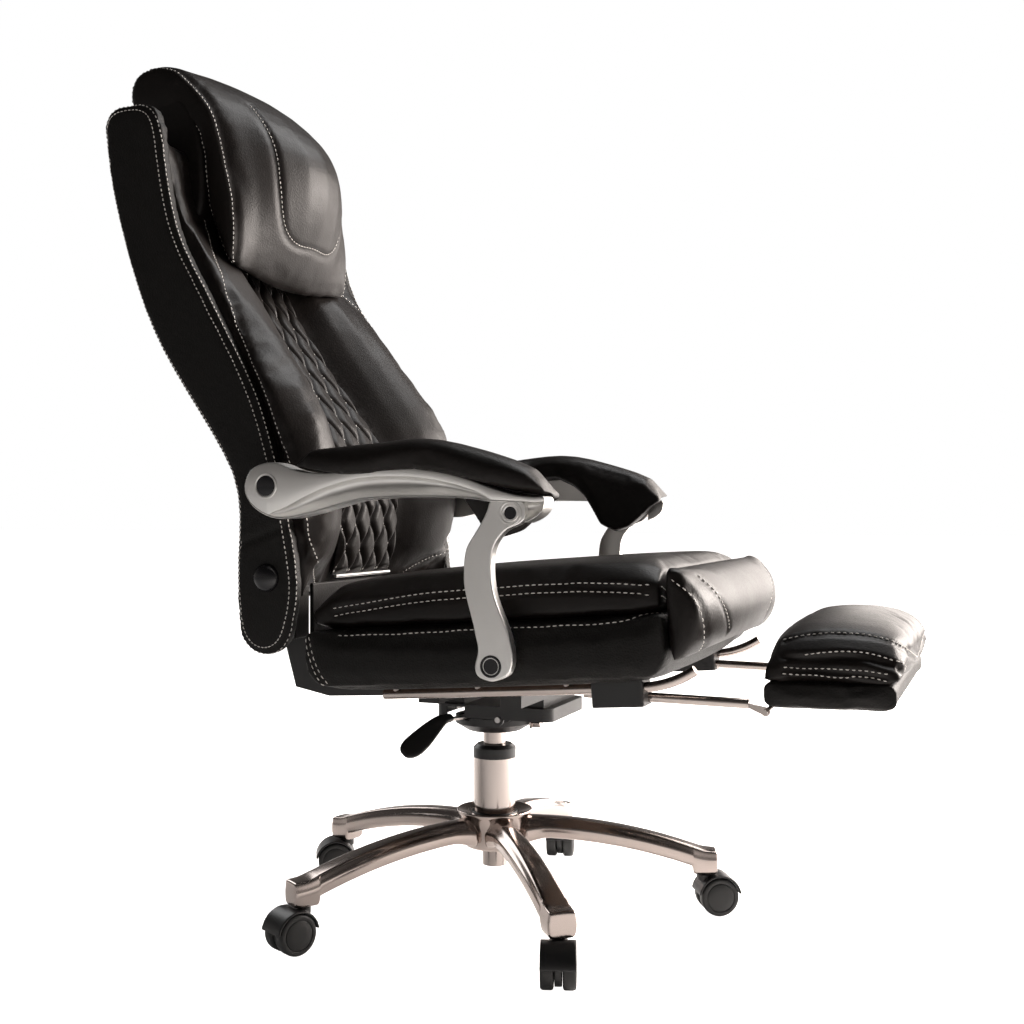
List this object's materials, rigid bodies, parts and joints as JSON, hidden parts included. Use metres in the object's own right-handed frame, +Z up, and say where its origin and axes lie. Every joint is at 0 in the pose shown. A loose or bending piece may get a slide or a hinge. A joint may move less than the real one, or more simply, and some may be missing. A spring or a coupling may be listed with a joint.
{
  "type": "reclining office chair with footrest",
  "caption": "High-backed leather recliner on a five-star swivel base, with padded linked arms, a headrest pillow, quilted back and pull-out footrest.",
  "frame": {"origin": "on the floor, on the gas column's axis", "axes": "+Z up, -Y the way the sitter faces, +X to the sitter's left"},
  "size_m": [0.6526, 1.1002, 1.2334],
  "materials": {
    "base": "polished aluminium, warm grey",
    "chrome": "polished chrome",
    "satin": "satin aluminium with a polished edge",
    "steel": "black powder coat",
    "bright": "plain steel",
    "plastic": "black moulded nylon",
    "tread": "black polyurethane and nylon",
    "leather": "near-black brown grained leather over foam, white stitching",
    "board": "bent plywood"
  },
  "bodies": {
    "base": {"star_base": "base", "gas_tube": "chrome", "tube_collar": "plastic"},
    "piston": {"piston_rod": "chrome"},
    "valve": {"valve_pin": "bright"},
    "mechanism": {"mechanism_bowl": "steel"},
    "tension_screw": {"tension_screw": "chrome"},
    "height_lever": {"lever_rod": "bright", "lever_paddle": "plastic"},
    "seat": {"tilt_pin": "bright", "seat_tray": "steel", "seat_beams": "steel", "tray_bolts": "bright", "seat_board": "board", "seat_box": "leather", "seat_cushion": "leather", "seat_roll": "leather", "footrest_rails": "chrome", "guide_blocks": "plastic", "hinge_brackets": "steel", "hinge_pins": "bright", "link_studs": "bright"},
    "footrest_slide": {"footrest_rods": "chrome"},
    "footrest": {"footrest_base": "leather", "footrest_pad": "leather"},
    "back": {"back_board": "board", "back_hinges": "steel", "rear_panel": "leather", "side_panel_left": "leather", "side_panel_right": "leather", "back_cushion": "leather", "quilted_panel": "leather", "headrest": "leather", "arm_studs": "bright"},
    "knob_left": {"recline_knob_left": "plastic"},
    "knob_right": {"recline_knob_right": "plastic"},
    "link_left": {"arm_link_left": "satin"},
    "link_right": {"arm_link_right": "satin"},
    "arm_left": {"arm_frame_left": "satin", "arm_pad_left": "leather", "arm_caps_left": "plastic"},
    "arm_right": {"arm_frame_right": "satin", "arm_pad_right": "leather", "arm_caps_right": "plastic"},
    "caster_1": {"caster_fork_1": "plastic"},
    "wheel_1_left": {"caster_wheel_1_left": "tread"},
    "wheel_1_right": {"caster_wheel_1_right": "tread"},
    "caster_2": {"caster_fork_2": "plastic"},
    "wheel_2_left": {"caster_wheel_2_left": "tread"},
    "wheel_2_right": {"caster_wheel_2_right": "tread"},
    "caster_3": {"caster_fork_3": "plastic"},
    "wheel_3_left": {"caster_wheel_3_left": "tread"},
    "wheel_3_right": {"caster_wheel_3_right": "tread"},
    "caster_4": {"caster_fork_4": "plastic"},
    "wheel_4_left": {"caster_wheel_4_left": "tread"},
    "wheel_4_right": {"caster_wheel_4_right": "tread"},
    "caster_5": {"caster_fork_5": "plastic"},
    "wheel_5_left": {"caster_wheel_5_left": "tread"},
    "wheel_5_right": {"caster_wheel_5_right": "tread"}
  },
  "joints": [
    {"name": "height_slide", "type": "slide", "parent": "base", "child": "piston", "axis": [0, 0, 1], "range_m": [-0.015, 0.085]},
    {"name": "seat_swivel", "type": "hinge", "parent": "piston", "child": "mechanism", "pos_m": [0, 0, 0.287], "axis": [0, 0, 1], "continuous": true},
    {"name": "height_lever_lift", "type": "hinge", "parent": "mechanism", "child": "height_lever", "pos_m": [-0.02318, 0.00937, 0.2853], "axis": [0.3746, 0.9272, 0], "range_deg": [0, 5], "stiffness_Nm_per_rad": 0.3, "springref_deg": -17.19},
    {"name": "valve_press", "type": "slide", "parent": "piston", "child": "valve", "axis": [0, 0, -1], "range_m": [0, 0.0023]},
    {"name": "tension_screw_turn", "type": "hinge", "parent": "mechanism", "child": "tension_screw", "pos_m": [0, -0.056, 0.274], "axis": [0, -1, 0], "continuous": true},
    {"name": "seat_tilt", "type": "hinge", "parent": "mechanism", "child": "seat", "pos_m": [0, -0.035, 0.287], "axis": [-1, 0, 0], "range_deg": [0, 6], "stiffness_Nm_per_rad": 220, "springref_deg": -28.65},
    {"name": "recline", "type": "hinge", "parent": "seat", "child": "back", "pos_m": [0, 0.226, 0.423], "axis": [-1, 0, 0], "range_deg": [0, 45]},
    {"name": "footrest_pull", "type": "slide", "parent": "seat", "child": "footrest_slide", "axis": [0, 0.9999, 0.0122], "range_m": [0, 0.12]},
    {"name": "footrest_fold", "type": "hinge", "parent": "footrest_slide", "child": "footrest", "pos_m": [0, -0.424, 0.3365], "axis": [1, 0, 0], "range_deg": [0, 178]},
    {"name": "link_left", "type": "hinge", "parent": "seat", "child": "link_left", "pos_m": [0, -0.109, 0.388], "axis": [-1, 0, 0], "range_deg": [0, 45]},
    {"name": "arm_left", "type": "hinge", "parent": "link_left", "child": "arm_left", "pos_m": [0, -0.134, 0.572], "axis": [-1, 0, 0], "range_deg": [-45, 0]},
    {"name": "recline_knob_left", "type": "hinge", "parent": "back", "child": "knob_left", "pos_m": [0, 0.223, 0.486], "axis": [1, 0, 0], "continuous": true},
    {"name": "link_right", "type": "hinge", "parent": "seat", "child": "link_right", "pos_m": [0, -0.109, 0.388], "axis": [-1, 0, 0], "range_deg": [0, 45]},
    {"name": "arm_right", "type": "hinge", "parent": "link_right", "child": "arm_right", "pos_m": [0, -0.134, 0.572], "axis": [-1, 0, 0], "range_deg": [-45, 0]},
    {"name": "recline_knob_right", "type": "hinge", "parent": "back", "child": "knob_right", "pos_m": [0, 0.223, 0.486], "axis": [-1, 0, 0], "continuous": true},
    {"name": "caster_1_swivel", "type": "hinge", "parent": "base", "child": "caster_1", "pos_m": [0.09915, -0.28314, 0.027], "axis": [0, 0, 1], "continuous": true},
    {"name": "wheel_1_left_roll", "type": "hinge", "parent": "caster_1", "child": "wheel_1_left", "pos_m": [0.10796, -0.29884, 0.027], "axis": [0.8721, 0.4894, 0], "continuous": true},
    {"name": "wheel_1_right_roll", "type": "hinge", "parent": "caster_1", "child": "wheel_1_right", "pos_m": [0.10796, -0.29884, 0.027], "axis": [0.8721, 0.4894, 0], "continuous": true},
    {"name": "caster_2_swivel", "type": "hinge", "parent": "base", "child": "caster_2", "pos_m": [0.29992, 0.00681, 0.027], "axis": [0, 0, 1], "continuous": true},
    {"name": "wheel_2_left_roll", "type": "hinge", "parent": "caster_2", "child": "wheel_2_left", "pos_m": [0.31737, 0.01125, 0.027], "axis": [-0.247, 0.969, 0], "continuous": true},
    {"name": "wheel_2_right_roll", "type": "hinge", "parent": "caster_2", "child": "wheel_2_right", "pos_m": [0.31737, 0.01125, 0.027], "axis": [-0.247, 0.969, 0], "continuous": true},
    {"name": "caster_3_swivel", "type": "hinge", "parent": "base", "child": "caster_3", "pos_m": [0.08621, 0.28735, 0.027], "axis": [0, 0, 1], "continuous": true},
    {"name": "wheel_3_left_roll", "type": "hinge", "parent": "caster_3", "child": "wheel_3_left", "pos_m": [0.07713, 0.30289, 0.027], "axis": [-0.8634, -0.5045, 0], "continuous": true},
    {"name": "wheel_3_right_roll", "type": "hinge", "parent": "caster_3", "child": "wheel_3_right", "pos_m": [0.07713, 0.30289, 0.027], "axis": [-0.8634, -0.5045, 0], "continuous": true},
    {"name": "caster_4_swivel", "type": "hinge", "parent": "base", "child": "caster_4", "pos_m": [-0.24664, 0.17078, 0.027], "axis": [0, 0, 1], "continuous": true},
    {"name": "wheel_4_left_roll", "type": "hinge", "parent": "caster_4", "child": "wheel_4_left", "pos_m": [-0.26258, 0.17915, 0.027], "axis": [-0.4648, -0.8854, 0], "continuous": true},
    {"name": "wheel_4_right_roll", "type": "hinge", "parent": "caster_4", "child": "wheel_4_right", "pos_m": [-0.26258, 0.17915, 0.027], "axis": [-0.4648, -0.8854, 0], "continuous": true},
    {"name": "caster_5_swivel", "type": "hinge", "parent": "base", "child": "caster_5", "pos_m": [-0.23864, -0.1818, 0.027], "axis": [0, 0, 1], "continuous": true},
    {"name": "wheel_5_left_roll", "type": "hinge", "parent": "caster_5", "child": "wheel_5_left", "pos_m": [-0.25573, -0.18745, 0.027], "axis": [0.314, -0.9494, 0], "continuous": true},
    {"name": "wheel_5_right_roll", "type": "hinge", "parent": "caster_5", "child": "wheel_5_right", "pos_m": [-0.25573, -0.18745, 0.027], "axis": [0.314, -0.9494, 0], "continuous": true}
  ],
  "couplings": [
    {"joint": "valve_press", "follows": "height_lever_lift", "m_per_rad": 0.02521},
    {"joint": "footrest_fold", "follows": "footrest_pull", "rad_per_m": 25.744},
    {"joint": "link_left", "follows": "recline", "ratio": 1},
    {"joint": "arm_left", "follows": "recline", "ratio": -1},
    {"joint": "link_right", "follows": "recline", "ratio": 1},
    {"joint": "arm_right", "follows": "recline", "ratio": -1}
  ]
}
